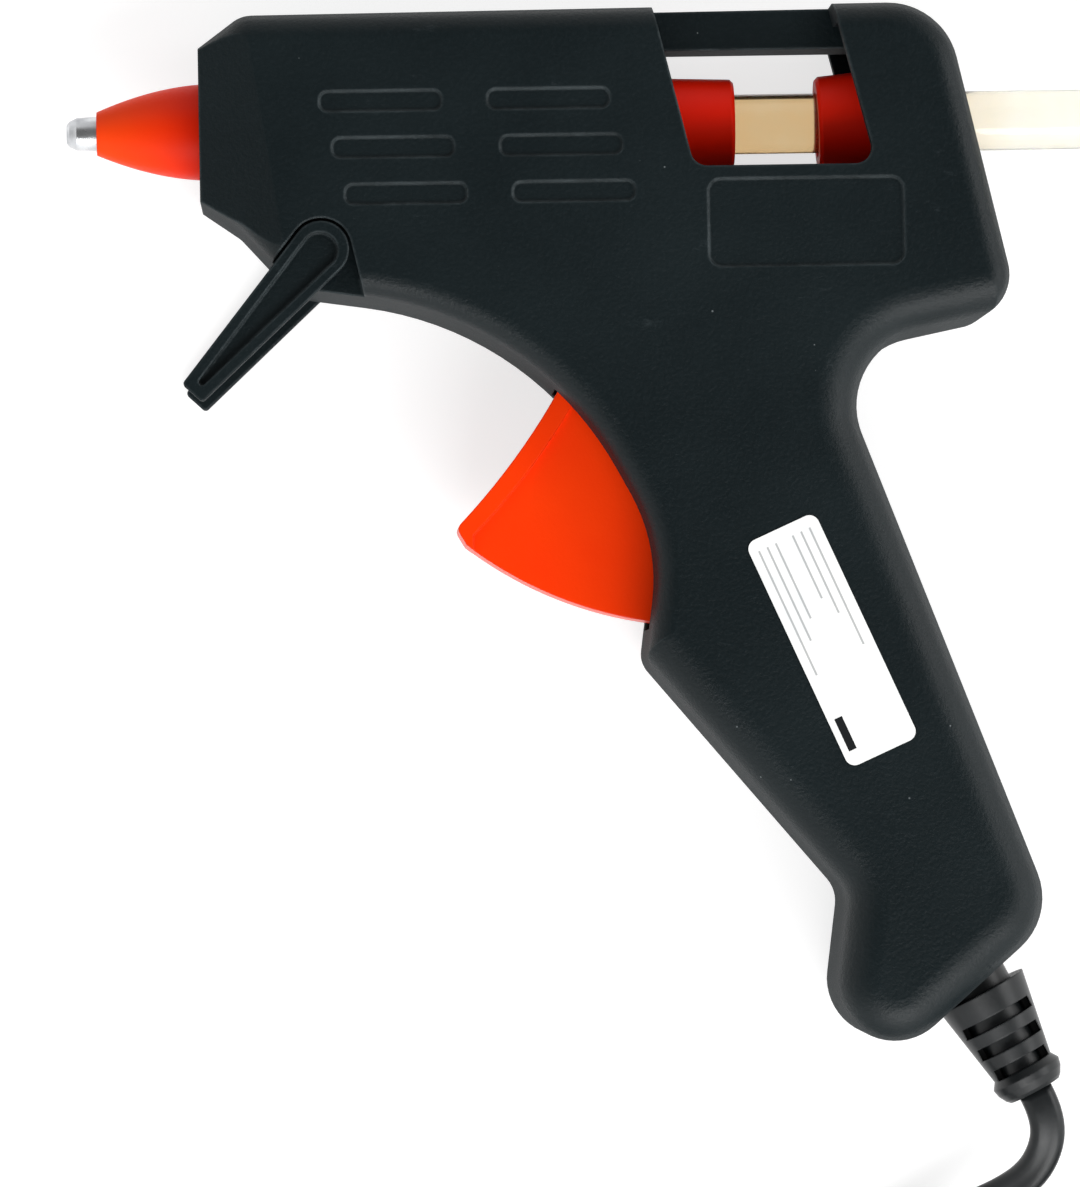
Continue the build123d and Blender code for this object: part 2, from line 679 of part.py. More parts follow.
def trigger():
    """Finger pad, side plates, pivot boss and the arm that drives the feed."""
    half = TRIGGER_WIDTH / 2
    body = slab(trigger_face(), MID - half, MID + half)
    body = fillet(body.edges().filter_by(Axis.Z).group_by(Axis.X)[0], 1.0)
    sunk = trigger_face(TRIGGER_BAND, -TRIGGER_RUN_OUT)
    hollow = slab(sunk, MID + half - TRIGGER_RECESS, MID + half + 1)
    hollow += slab(Pos(3, 0) * sunk, MID + half - TRIGGER_RECESS, MID + half + 1)
    body -= both_sides(hollow)
    body += upright(*PIVOT, PIVOT_BOSS, MID - half, MID + half)
    arm = make_hull(
        (Pos(*PIVOT) * Circle(PIVOT_BOSS)).edges() + (Pos(*ARM_PIN) * Circle(ARM_HALF_WIDTH)).edges()
    )
    body += slab(arm, MID - ARM_THICK / 2, MID + ARM_THICK / 2)
    body -= upright(*PIVOT, PIVOT_RADIUS + RUN_GAP, 0, WIDTH)
    body -= upright(*ARM_PIN, LINK_PIN_RADIUS + RUN_GAP, 0, WIDTH)
    return body


def trigger_pivot_pin():
    return upright(*PIVOT, PIVOT_RADIUS, SIDE_WALL, WIDTH - SIDE_WALL)


def feed_link():
    """A flat link; its rear eye is a slot, because the arm's end rises a little as it swings."""
    outline = make_hull(
        (Pos(*ARM_PIN) * Circle(ARM_HALF_WIDTH)).edges() + (Pos(*FEED_PIN) * Circle(LINK_EYE)).edges()
    )
    plate = slab(outline, LINK_LOW, LINK_LOW + LINK_THICK)
    plate -= upright(*ARM_PIN, LINK_PIN_RADIUS, 0, WIDTH)
    radius = LINK_PIN_RADIUS + SLOT_GAP
    low = (FEED_PIN[0], FEED_PIN[1] - ARM_RISE)
    slot = make_hull((Pos(*FEED_PIN) * Circle(radius)).edges() + (Pos(*low) * Circle(radius)).edges())
    return plate - slab(slot, 0, WIDTH)


def link_pin():
    low = MID - ARM_THICK / 2
    return upright(*ARM_PIN, LINK_PIN_RADIUS, low, LINK_LOW + LINK_THICK) + upright(
        *ARM_PIN, LINK_PIN_RADIUS + 0.6, low - 0.6, low - 0.05
    ) + upright(*ARM_PIN, LINK_PIN_RADIUS, low - 0.1, low)


def feed_ring():
    """The ring that leans on the stick and pushes it, with the lug that its pin sits in."""
    bore = STICK_RADIUS + RING_GAP
    end = RING_FRONT + RING_LENGTH
    ring = turned(
        [
            (RING_FRONT, bore),
            (RING_FRONT, RING_RADIUS[0] - 0.4),
            (RING_FRONT + 0.4, RING_RADIUS[0]),
            (end - 0.5, RING_RADIUS[1]),
            (end, RING_RADIUS[1] - 0.5),
            (end, bore),
        ]
    )
    middle = (RING_FRONT + RING_LENGTH / 2, 0)
    ring = Pos(*middle) * Rot(0, 0, RING_LEAN) * Pos(-middle[0], 0) * ring
    half = ARM_THICK / 2
    lug = block(
        (FEED_PIN[0] - 2.6, FEED_PIN[1] - 2.2, MID - half),
        (FEED_PIN[0] + 2.6, -bore - 0.6, MID + half),
    )
    return ring + lug - upright(*FEED_PIN, LINK_PIN_RADIUS, 0, WIDTH)


def feed_pin():
    """Through the lug: the link rides on its upper end and the spring's eye on its lower end."""
    return upright(*FEED_PIN, LINK_PIN_RADIUS, SPRING_LEVEL - 1.2, LINK_LOW + LINK_THICK + 0.6)


def return_spring():
    """A coil between two eyes, one on the feed pin and one on the housing's post."""
    bead = Sphere(SPRING_WIRE * 1.2)  # at each bend of the wire
    eye = POST_RADIUS + SPRING_WIRE
    start = FEED_PIN[0] + eye + 1.2
    length = SPRING_POST - eye - 1.2 - start
    helix = Helix(pitch=length / SPRING_TURNS, height=length, radius=SPRING_RADIUS)
    section = Plane(origin=helix @ 0, z_dir=helix % 0) * Circle(SPRING_WIRE)
    wire = Pos(start, 0, 0) * Rot(0, 90, 0) * sweep(section, helix, is_frenet=True)
    for pin, end in ((FEED_PIN[0], start), (SPRING_POST, start + length)):
        wire += Pos(pin, 0, 0) * Torus(eye, SPRING_WIRE)
        side = math.copysign(eye, end - pin)
        link = Line((pin + side, 0, 0), (end, 0, -SPRING_RADIUS))
        wire += sweep(Plane(origin=link @ 0, z_dir=link % 0) * Circle(SPRING_WIRE), link)
        wire += Pos(link @ 0) * bead + Pos(link @ 1) * bead
    return Pos(0, FEED_PIN[1], SPRING_LEVEL) * wire


# ---------------------------------------------------------------- stand

STAND_AXLE_END = STAND_FLUSH + STAND_POCKET + STAND_SKIN


def stand_leg():
    """The left leg of the stand, with a tapering pocket in its outer face."""
    high = WIDTH - STAND_FLUSH
    leg = slab(stand_leg_face(STAND_ANGLE), high - STAND_THICK, high)
    near = Pos(*around(STAND_HUB, STAND_ANGLE, 0.2)) * Circle(STAND_HUB_RADIUS - 1.2)
    far = Pos(*around(STAND_HUB, STAND_ANGLE, STAND_REACH - 1.8)) * Circle(0.4)
    leg -= slab(make_hull(near.edges() + far.edges()), high - STAND_POCKET, high + 1)
    return leg - upright(*STAND_HUB, STAND_AXLE_RADIUS, high - STAND_THICK, WIDTH - STAND_AXLE_END)


def stand_axle():
    return upright(*STAND_HUB, STAND_AXLE_RADIUS, STAND_AXLE_END, WIDTH - STAND_AXLE_END)


# ---------------------------------------------------------------- wiring


def strain_relief():
    """A tapering boot with a flange inside the handle and slots above and below the lead."""
    first, last = BOOT_RINGS[0], BOOT_RINGS[-1]
    start, end, full, low = BOOT_BULB
    neck = last[3]
    profile = [
        (BOOT_FLANGE[0], BOOT_BORE),
        (BOOT_FLANGE[0], BOOT_FLANGE[2]),
        (BOOT_FLANGE[1], BOOT_FLANGE[2]),
        (BOOT_FLANGE[1], BOOT_NECK),
        (first[0], BOOT_NECK),
        (first[0], first[2]),
        (start, neck - 0.3),
        (start + 0.3, full - 0.4),
        (start + 0.9, full),
        (end - 1.3, full - 0.2),
        (end - 0.4, low + 0.4),
        (end, low),
        (end, BOOT_BORE),
    ]
    boot = along(LEAD_EXIT, LEAD_SLOPE, profile)
    starts = [ring[0] for ring in BOOT_RINGS[1:]] + [start]
    turn = math.degrees(math.atan2(LEAD_SLOPE[1], LEAD_SLOPE[0]))
    place = Pos(*LEAD_EXIT, MID) * Rot(0, 0, turn)
    for ring, following in zip(BOOT_RINGS, starts):
        end, radius = ring[1], ring[3]
        floor = radius - 1.5
        shell = [(end, floor), (following, floor), (following, radius + 1), (end, radius + 1)]
        slot = Box(WIDTH, 2 * (radius - BOOT_RAIL), WIDTH) - Box(WIDTH, WIDTH, 2 * BOOT_WEB)
        boot -= along(LEAD_EXIT, LEAD_SLOPE, shell) & (place * slot)
    return boot


def inner_lead():
    radius = LEAD_DIAMETER / 2
    return along(LEAD_EXIT, LEAD_SLOPE, [(-INNER_LEAD, 0), (BOOT_BULB[1], 0), (BOOT_BULB[1], radius), (-INNER_LEAD, radius)])


def lead_clamp():
    middle, screws = clamp_points()
    turn = math.degrees(math.atan2(LEAD_SLOPE[1], LEAD_SLOPE[0]))
    face = Pos(middle.X, middle.Y) * Rot(0, 0, turn) * RectangleRounded(*CLAMP_SIZE[:2], 1.2)
    plate = slab(face, CLAMP_LEVEL, CLAMP_LEVEL + CLAMP_SIZE[2])
    for point in screws:
        plate -= upright(point.X, point.Y, CLAMP_SCREW_RADIUS, 0, WIDTH)
    return plate


def clamp_screws():
    high = CLAMP_LEVEL + CLAMP_SIZE[2]
    found = []
    for point in clamp_points()[1]:
        shank = upright(point.X, point.Y, CLAMP_SCREW_RADIUS, CLAMP_LEVEL - 6.5, high)
        head = upright(point.X, point.Y, CLAMP_SCREW_RADIUS + 0.9, high, high + 1.2)
        cross = Pos(point.X, point.Y, high + 1.2) * (Box(2.4, 0.5, 1.0) + Box(0.5, 2.4, 1.0))
        found.append(shank + head - cross)
    return found


def pipe(points, radius, radii=None):
    """A round tube along straight runs joined by tangent arcs, each as large as its runs allow."""
    runs = [Vector(*b) - Vector(*a) for a, b in zip(points, points[1:])]
    if radii is None:
        radii = [
            0.45 * min(a.length, b.length) / math.tan(math.radians(a.get_angle(b)) / 2)
            for a, b in zip(runs, runs[1:])
        ]
    path = FilletPolyline(*points, radius=radii)
    section = Plane(origin=points[0], z_dir=runs[0]) * Circle(radius)
    return sweep(section, path), path.length, radii


def wiring():
    """The two conductors, the crimps that join them to the heater's leads, and those leads."""
    slope = Vector(*LEAD_SLOPE).normalized()
    across = Vector(-slope.Y, slope.X)
    split = Vector(*LEAD_EXIT) - slope * INNER_LEAD
    crimp_at = split - slope * 9
    film_y = -PAD_DROP - FILM_THICK - ELECTRODE_THICK / 2
    tab_end = HEATER_START + HEATER_LENGTH + TAB_LENGTH
    step = ELECTRODE_THICK + PTC_THICK
    conductors, crimps, leads = [], [], []
    for side, tab_y, tab_z in ((1, film_y, MID + 2.5), (-1, film_y - step, MID - 2.5)):
        near = split + across * (side * 1.0)
        far = crimp_at + across * (side * WIRE_PITCH / 2)
        crimp_end = far - slope * CRIMP[1]
        conductors.append(
            pipe(
                [
                    (near.X, near.Y, MID),
                    (near.X - slope.X * 3, near.Y - slope.Y * 3, MID + 1.5),
                    (far.X + slope.X * 2.5, far.Y + slope.Y * 2.5, WIRE_LEVEL),
                    (far.X, far.Y, WIRE_LEVEL),
                ],
                WIRE_RADIUS,
            )[0]
        )
        turn = math.degrees(math.atan2(LEAD_SLOPE[1], LEAD_SLOPE[0]))
        crimp = Rot(0, -90, 0) * Cylinder(*CRIMP, align=(Align.CENTER, Align.CENTER, Align.MIN))
        crimps.append(Pos(far.X, far.Y, WIRE_LEVEL) * Rot(0, 0, turn) * crimp)
        gap = side * WIRE_PITCH / 2
        leads.append(
            pipe(
                [
                    (crimp_end.X, crimp_end.Y, WIRE_LEVEL),
                    *[(x + gap, y, WIRE_LEVEL) for x, y in WIRE_ROUTE[:2]],
                    (WIRE_ROUTE[2][0] + gap, WIRE_ROUTE[2][1] + gap, WIRE_LEVEL),
                    (WIRE_ROUTE[3][0], WIRE_ROUTE[3][1] + gap, WIRE_LEVEL),
                    (tab_end + WIRE_DROP[0], tab_y - WIRE_DROP[1], tab_z + WIRE_DROP[2]),
                    (tab_end, tab_y, tab_z),
                ],
                WIRE_RADIUS,
            )[0]
        )
    return conductors, crimps, leads


def coil():
    """The outer form of the coiled lead."""
    inner, outer = COIL_RADIUS
    ring = Cylinder(outer, COIL_HEIGHT) - Cylinder(inner, COIL_HEIGHT + 2)
    ring = fillet(ring.edges().filter_by(GeomType.CIRCLE), LEAD_DIAMETER * 0.42)
    return Pos(*COIL_CENTRE, TIE_THICK + COIL_HEIGHT / 2) * ring


def coil_tie():
    """A strap round the coil's bundle."""
    inner, outer = COIL_RADIUS
    width = outer - inner
    middle = around(COIL_CENTRE, TIE_ANGLE, (inner + outer) / 2)
    shape = Box(width + 2 * TIE_THICK + 0.4, TIE_WIDTH, COIL_HEIGHT + 2 * TIE_THICK)
    shape = fillet(shape.edges().filter_by(Axis.Y), 2.0)
    hole = Box(width + 0.4, TIE_WIDTH + 2, COIL_HEIGHT)
    hole = fillet(hole.edges().filter_by(Axis.Y), 1.5)
    band = shape - hole
    return Pos(*middle, TIE_THICK + COIL_HEIGHT / 2) * Rot(0, 0, TIE_ANGLE) * band


# ---------------------------------------------------------------- plug


def plug_place(solid):
    """Puts a piece drawn along +X from the lead's end at the plug's place."""
    return Pos(PLUG_AT[0], PLUG_AT[1], PLUG_FACE[1] / 2) * Rot(0, 0, PLUG_TURN) * solid


def plug_body():
    """A flat moulded body that widens from the lead to the pins."""
    length, (face, thick), (tail, tail_thick) = PLUG_LENGTH, PLUG_FACE, PLUG_TAIL
    corners = [
        (0, tail / 2, 1.5),
        (8, tail / 2 + 0.8, 4),
        (20, face / 2 - 1, 8),
        (length, face / 2, 1.0),
        (length, -face / 2, 1.0),
        (20, -face / 2 + 1, 8),
        (8, -tail / 2 - 0.8, 4),
        (0, -tail / 2, 1.5),
    ]
    body = slab(outline_face(corners), -thick / 2, thick / 2)
    side = [(0, tail_thick / 2), (14, thick / 2), (length, thick / 2)]
    profile = side + [(x, -z) for x, z in reversed(side)]
    plane = Plane(origin=(0, face, 0), x_dir=(1, 0, 0), z_dir=(0, -1, 0))
    body = body & extrude(plane * make_face(Polyline(*profile, close=True)), 2 * face)
    for side in (1, -1):
        sink = Pos(length - PLUG_SINK, side * PLUG_PIN_SPACING / 2, 0) * Rot(0, 90, 0)
        body -= sink * Cylinder(PLUG_ROOT, PLUG_SINK, align=(Align.CENTER, Align.CENTER, Align.MIN))
    return plug_place(body)


def plug_pins():
    """Round pins, each thinner where it is insulated by a sleeve as thick as its tip."""
    pins, sleeves = [], []
    align = (Align.CENTER, Align.CENTER, Align.MIN)
    for side in (1, -1):
        start = Pos(PLUG_LENGTH, side * PLUG_PIN_SPACING / 2, 0) * Rot(0, 90, 0)
        root = Pos(0, 0, -PLUG_SINK) * Cylinder(PLUG_ROOT, PLUG_SINK + PLUG_SLEEVE, align=align)
        tip = Cylinder(PLUG_PIN_RADIUS, PLUG_PIN_LENGTH - PLUG_SLEEVE, align=align)
        tip = fillet((Pos(0, 0, PLUG_SLEEVE) * tip).edges().group_by(Axis.Z)[-1], 1.6)
        pins.append(plug_place(start * (root + tip)))
        sleeve = Cylinder(PLUG_PIN_RADIUS, PLUG_SLEEVE, align=align)
        sleeves.append(plug_place(start * (sleeve - Cylinder(PLUG_ROOT, PLUG_SLEEVE, align=align))))
    return pins, sleeves


# ---------------------------------------------------------------- assembly


def build():
    """Every node's solids by name, in the construction frame."""
    left, right = shells()
    film_upper, electrode_upper, pill, electrode_lower, film_lower, bottom = heater_stack()
    conductors, crimps, leads = wiring()
    lead, lead_length, lead_radii = pipe(LEAD_ROUTE, LEAD_DIAMETER / 2)
    tail, tail_length, tail_radii = pipe(TAIL_ROUTE, LEAD_DIAMETER / 2)
    for name, tube, length, radii in (
        ("lead", lead, lead_length, lead_radii),
        ("tail", tail, tail_length, tail_radii),
    ):
        section = math.pi * LEAD_DIAMETER**2 / 4
        print(name, "radii", [round(r, 1) for r in radii], "length", round(length, 1))
        print(name, "volume", round(tube.volume, 1), "section times length", round(section * length, 1))
    pins, sleeves = plug_pins()
    leg = stand_leg()
    return {
        "left_shell": left,
        "right_shell": right,
        "housing_screws": housing_screws(),
        "rating_label": rating_label(),
        "nozzle_tip": nozzle_tip(),
        "nozzle_cover": nozzle_cover(),
        "melt_chamber": melt_chamber(),
        "heater_film_upper": film_upper,
        "electrode_upper": electrode_upper,
        "ptc_heater": pill,
        "electrode_lower": electrode_lower,
        "heater_film_lower": film_lower,
        "heater_clip": heater_clip(bottom),
        "inlet_sleeve": inlet_sleeve(),
        "sleeve_clamp": sleeve_clamp(),
        "glue_stick": glue_stick(),
        "feed_ring": feed_ring(),
        "feed_pin": feed_pin(),
        "feed_link": feed_link(),
        "link_pin": link_pin(),
        "trigger": trigger(),
        "trigger_pivot_pin": trigger_pivot_pin(),
        "return_spring": return_spring(),
        "stand_leg_left": leg,
        "stand_leg_right": mirror(leg, about=Plane.XY.offset(MID)),
        "stand_axle": stand_axle(),
        "live_lead": leads[0],
        "neutral_lead": leads[1],
        "crimp_sleeves": crimps,
        "lead_conductors": conductors,
        "lead_clamp": lead_clamp(),
        "clamp_screws": clamp_screws(),
        "strain_relief": strain_relief(),
        "inner_lead": inner_lead(),
        "cord_tube": lead,
        "cord_coil": coil(),
        "coil_tie": coil_tie(),
        "cord_tail": tail,
        "plug_body": plug_body(),
        "plug_pins": pins,
        "plug_pin_sleeves": sleeves,
    }


def as_solids(shape):
    """A node's solids as one compound, or its one solid."""
    parts = shape if isinstance(shape, (list, tuple)) else [shape]
    solids = [solid for part in parts for solid in part.solids()]
    return solids[0] if len(solids) == 1 else Compound(children=solids)


nodes = {name: as_solids(shape) for name, shape in build().items()}

# The row's origin: under the middle of the gun's own box, without the free lead.
boxes = [nodes[name].bounding_box() for name in ("left_shell", "nozzle_tip", "glue_stick")]
ORIGIN = Vector(
    (min(box.min.X for box in boxes) + max(box.max.X for box in boxes)) / 2,
    (min(box.min.Y for box in boxes) + max(box.max.Y for box in boxes)) / 2,
    0,
)

os.makedirs("parts", exist_ok=True)
for name, shape in nodes.items():
    export_step(Pos(-ORIGIN.X, -ORIGIN.Y, 0) * shape, f"parts/{name}.step")
print("origin", round(ORIGIN.X, 3), round(ORIGIN.Y, 3))
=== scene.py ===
"""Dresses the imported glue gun: camera, light, materials, and the lead as it lies.

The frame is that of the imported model, in metres: +X from the nozzle to the rear,
+Y from the handle up to the barrel, +Z out of the side that faces the camera.
"""
import math
from itertools import accumulate

import bpy
from mathutils import Matrix, Vector


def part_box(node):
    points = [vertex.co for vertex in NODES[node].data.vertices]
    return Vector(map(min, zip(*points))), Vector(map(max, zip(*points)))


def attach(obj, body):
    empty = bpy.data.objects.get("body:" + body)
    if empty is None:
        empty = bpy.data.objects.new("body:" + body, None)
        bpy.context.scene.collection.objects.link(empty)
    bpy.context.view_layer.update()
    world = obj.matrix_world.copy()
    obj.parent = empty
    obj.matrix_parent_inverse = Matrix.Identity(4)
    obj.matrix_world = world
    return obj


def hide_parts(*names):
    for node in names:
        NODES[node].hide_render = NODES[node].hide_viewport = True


MM = 0.001

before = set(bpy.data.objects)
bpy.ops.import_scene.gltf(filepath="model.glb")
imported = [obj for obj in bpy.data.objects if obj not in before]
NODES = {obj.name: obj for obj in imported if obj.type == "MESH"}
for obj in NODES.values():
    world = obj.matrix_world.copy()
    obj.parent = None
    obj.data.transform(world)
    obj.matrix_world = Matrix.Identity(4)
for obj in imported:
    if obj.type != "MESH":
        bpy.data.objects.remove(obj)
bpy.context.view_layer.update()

# The barrel's axis at the housing's front face, which places are measured from.
HOUSING_LOW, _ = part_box("left_shell")
STICK_LOW, STICK_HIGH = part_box("glue_stick")
BARREL = Vector((HOUSING_LOW[0], (STICK_LOW[1] + STICK_HIGH[1]) / 2, 0))


def at(x, y, z=0.0):
    """A point from millimetres behind and above the barrel's front end, and over the table."""
    return Vector((BARREL.x + x * MM, BARREL.y + y * MM, z * MM))


# ---------------------------------------------------------------- camera

CAMERA_FOOT = at(14.2, -76.4)  # the point on the table under the camera
CAMERA_HEIGHT = 0.913
CAMERA_AIM = at(39.8, -56.0, 13.0)
CAMERA_ROLL = math.radians(1.0)
FIELD_HEIGHT = 0.1424  # what the picture's height spans at the gun's middle plane
SENSOR_HEIGHT = 24.0  # millimetres, as Blender counts lenses


def add_camera():
    data = bpy.data.cameras.new("camera")
    camera = bpy.data.objects.new("camera", data)
    bpy.context.scene.collection.objects.link(camera)
    place = Vector((CAMERA_FOOT.x, CAMERA_FOOT.y, CAMERA_HEIGHT))
    ahead = (CAMERA_AIM - place).normalized()
    right = ahead.cross(Vector((math.sin(CAMERA_ROLL), math.cos(CAMERA_ROLL), 0))).normalized()
    up = right.cross(ahead)
    turn = Matrix((right, up, -ahead)).transposed()
    camera.matrix_world = Matrix.Translation(place) @ turn.to_4x4()
    data.sensor_fit = "VERTICAL"
    data.sensor_height = SENSOR_HEIGHT
    data.lens = SENSOR_HEIGHT * (CAMERA_AIM - place).length / FIELD_HEIGHT
    data.clip_start = 0.01
    bpy.context.scene.camera = camera


# ---------------------------------------------------------------- nodes


class Nodes:
    """A node tree, with short calls for the nodes that are used here."""

    def __init__(self, tree):
        self.tree = tree

    def add(self, kind, inputs=None, **settings):
        """A new node. Its inputs take another node's output or a plain value."""
        node = self.tree.nodes.new(kind)
        for key, value in settings.items():
            setattr(node, key, value)
        for socket, value in (inputs or {}).items():
            self.set(node.inputs[socket], value)
        return node

    def set(self, socket, value):
        if isinstance(value, bpy.types.NodeSocket):
            self.tree.links.new(value, socket)
        else:
            socket.default_value = value

    def ramp(self, value, low, high, start=0.0, end=1.0, **settings):
        """From start at low to end at high, and flat beyond."""
        inputs = {"Value": value, "From Min": low, "From Max": high, "To Min": start, "To Max": end}
        return self.add("ShaderNodeMapRange", inputs, **settings).outputs[0]

    def math(self, operation, *terms):
        return self.add("ShaderNodeMath", dict(enumerate(terms)), operation=operation).outputs[0]

    def dot(self, first, second):
        inputs = {0: first, 1: second}
        return self.add("ShaderNodeVectorMath", inputs, operation="DOT_PRODUCT").outputs["Value"]

    def axis(self, name, place):
        """One coordinate of a place or direction."""
        return self.add("ShaderNodeSeparateXYZ", {0: place}).outputs[name]


class Shader(Nodes):
    """A new material, whose patterns lie in the object's own coordinates, in metres."""

    def __init__(self, name, **values):
        self.material = bpy.data.materials.new(name)
        self.material.use_nodes = True
        super().__init__(self.material.node_tree)
        self.surface = self.tree.nodes["Principled BSDF"]
        for socket, value in values.items():
            self.into(socket.replace("_", " "), value)
        self.place = self.add("ShaderNodeTexCoord").outputs["Object"]

    def into(self, socket, value):
        self.set(self.surface.inputs[socket], value)

    def noise(self, size, detail=3.0, roughness=0.5, stretch=(1, 1, 1)):
        """Noise from 0 to 1, with grains about that many metres across."""
        scaled = self.add("ShaderNodeMapping", {"Vector": self.place, "Scale": stretch})
        inputs = {
            "Vector": scaled.outputs[0],
            "Scale": 1 / size,
            "Detail": detail,
            "Roughness": roughness,
        }
        return self.add("ShaderNodeTexNoise", inputs).outputs["Fac"]

    def cells(self, size):
        """Distance to the nearest of scattered points, in cells of that size."""
        inputs = {"Vector": self.place, "Scale": 1 / size, "Randomness": 1.0}
        return self.add("ShaderNodeTexVoronoi", inputs).outputs["Distance"]

    def blend(self, share, first, second):
        """A colour between two, by share."""
        node = self.add("ShaderNodeMix", data_type="RGBA")
        self.set(node.inputs["Factor"], share)
        self.set(node.inputs["A"], first)
        self.set(node.inputs["B"], second)
        return node.outputs["Result"]

    def rounded(self, radius):
        """The surface's normal as if its edges were rounded by that radius."""
        return self.add("ShaderNodeBevel", {"Radius": radius}, samples=4).outputs[0]

    def edges(self, radius):
        """1 along the edges, and 0 further from them than that radius."""
        normal = self.add("ShaderNodeNewGeometry").outputs["Normal"]
        return self.ramp(self.dot(self.rounded(radius), normal), 0.99, 0.9)

    def bump(self, height, depth, strength, edge=0.0):
        """Relief of that depth in metres, over edges that are softened by a radius of edge."""
        inputs = {"Height": height, "Distance": depth, "Strength": strength}
        if edge:
            inputs["Normal"] = self.rounded(edge)
        self.into("Normal", self.add("ShaderNodeBump", inputs).outputs[0])


def srgb(red, green, blue):
    """A linear colour from the 0 to 255 values that it shows as."""
    def linear(value):
        value /= 255
        return value / 12.92 if value < 0.04045 else ((value + 0.055) / 1.055) ** 2.4

    return (linear(red), linear(green), linear(blue), 1.0)


WHITE = (1, 1, 1, 1)


# ---------------------------------------------------------------- materials


def shell_plastic():
    """Charcoal plastic from a spark-eroded mould: fine grain, paler edges that are partly worn and partly a
    painted highlight, pale scuffs, some dust.
    """
    m = Shader("shell_plastic", Roughness=0.4, Specular_IOR_Level=0.26)
    grain = m.noise(0.00045, detail=5, roughness=0.65)
    patch = m.noise(0.02)
    scuff = m.noise(0.011, detail=6, roughness=0.8, stretch=(1, 2.5, 1))
    speck = m.ramp(m.cells(0.003), 0.03, 0.045, 1, 0)
    dusty = m.ramp(m.noise(0.016, detail=2), 0.54, 0.64)
    dust = m.math("MULTIPLY", m.math("MULTIPLY", speck, dusty), 0.6)
    # Edges painted paler where the scuff noise allows: partly wear, partly a painted highlight along the
    # rounded edges.
    rubbed_and_highlit = m.math("MULTIPLY", m.edges(0.0005), m.ramp(scuff, 0.4, 0.6, 0.15, 0.7))
    colour = m.blend(m.ramp(patch, 0.35, 0.7), srgb(5, 17, 20), srgb(9, 22, 25))
    colour = m.blend(m.ramp(grain, 0.45, 0.8, 0, 0.3), colour, srgb(28, 38, 42))
    colour = m.blend(m.ramp(scuff, 0.64, 0.76, 0, 0.3), colour, srgb(70, 78, 82))
    colour = m.blend(dust, colour, srgb(150, 158, 160))
    # The paler edge tone, part wear and part painted highlight.
    m.into("Base Color", m.blend(rubbed_and_highlit, colour, srgb(74, 84, 87)))
    # Rougher where it is seen at a slant, so that the side walls don't mirror the floor.
    slant = m.add("ShaderNodeLayerWeight", {"Blend": 0.5}).outputs["Facing"]
    matt = m.ramp(slant, 0.55, 0.95, 0, 0.35)
    m.into("Roughness", m.math("ADD", m.ramp(patch, 0.3, 0.7, 0.37, 0.43), matt))
    m.bump(grain, 0.00013, 0.65, edge=0.0004)
    return m.material


def moulded_orange(name, colour, shade, roughness, grain_size, fade=None):
    """Bright plastic or silicone with a faint flow pattern, and redder from fade's first X to its second."""
    m = Shader(name, Roughness=roughness, Specular_IOR_Level=0.15)
    flow = m.noise(0.014, stretch=(1, 1, 0.6))
    tint = m.blend(m.ramp(flow, 0.35, 0.7), colour, shade)
    if fade:
        tint = m.blend(m.ramp(m.axis("X", m.place), *fade), tint, srgb(250, 40, 0))
    m.into("Base Color", tint)
    grain = m.noise(grain_size)
    m.into("Roughness", m.ramp(grain, 0.3, 0.7, roughness - 0.06, roughness + 0.06))
    m.bump(grain, 0.00003, 0.4, edge=0.0003)
    return m.material


def aluminium():
    """Turned aluminium: fine rings round the barrel's axis and a few dull smears."""
    m = Shader("aluminium", Metallic=1.0, Roughness=0.22)
    smear = m.noise(0.003, detail=4)
    m.into("Base Color", m.blend(m.ramp(smear, 0.4, 0.7), srgb(226, 228, 230), srgb(176, 178, 182)))
    m.into("Roughness", m.ramp(smear, 0.35, 0.7, 0.22, 0.42))
    rings = m.noise(0.00025, detail=2, stretch=(1, 0.02, 0.02))
    m.bump(rings, 0.00003, 0.5)
    return m.material


def plated(name, bright, dull):
    """Plated metal with faint spangle."""
    m = Shader(name, Metallic=1.0, Roughness=0.32)
    spangle = m.noise(0.0012, detail=4)
    m.into("Base Color", m.blend(m.ramp(spangle, 0.4, 0.65), bright, dull))
    m.into("Roughness", m.ramp(spangle, 0.35, 0.7, 0.25, 0.42))
    m.bump(m.noise(0.0002, detail=2), 0.00001, 0.4)
    return m.material


def nickel():
    """Bright nickel plate with hair scratches along the pins."""
    m = Shader("nickel", Metallic=1.0, Roughness=0.16)
    scratch = m.noise(0.0004, stretch=(0.1, 1, 1))
    m.into("Base Color", m.blend(scratch, srgb(214, 212, 206), srgb(190, 188, 184)))
    m.into("Roughness", m.ramp(scratch, 0.3, 0.7, 0.12, 0.26))
    return m.material


def hot_melt():
    """A waxy, cloudy stick: amber in the feed, with its free end painted paler as painted light for the
    light passing through it there.
    """
    m = Shader(
        "hot_melt",
        Roughness=0.12,
        IOR=1.45,
        Transmission_Weight=0.92,
        Subsurface_Weight=0.3,
        Subsurface_Radius=(0.004, 0.0025, 0.0012),
        Subsurface_Scale=0.5,
    )
    cloud = m.ramp(m.noise(0.006), 0.35, 0.7)
    # Painted light: the base colour turns paler towards the free end, for the light that passes through the
    # stick there.
    along = m.ramp(m.axis("X", m.place), at(78, 0).x, at(98, 0).x)
    amber = m.blend(cloud, srgb(255, 214, 154), srgb(255, 226, 176))
    pale = m.blend(cloud, srgb(255, 250, 232), srgb(255, 253, 243))
    m.into("Base Color", m.blend(along, amber, pale))
    m.bump(m.noise(0.0022, detail=2, stretch=(0.25, 1, 1)), 0.00006, 0.5)
    return m.material


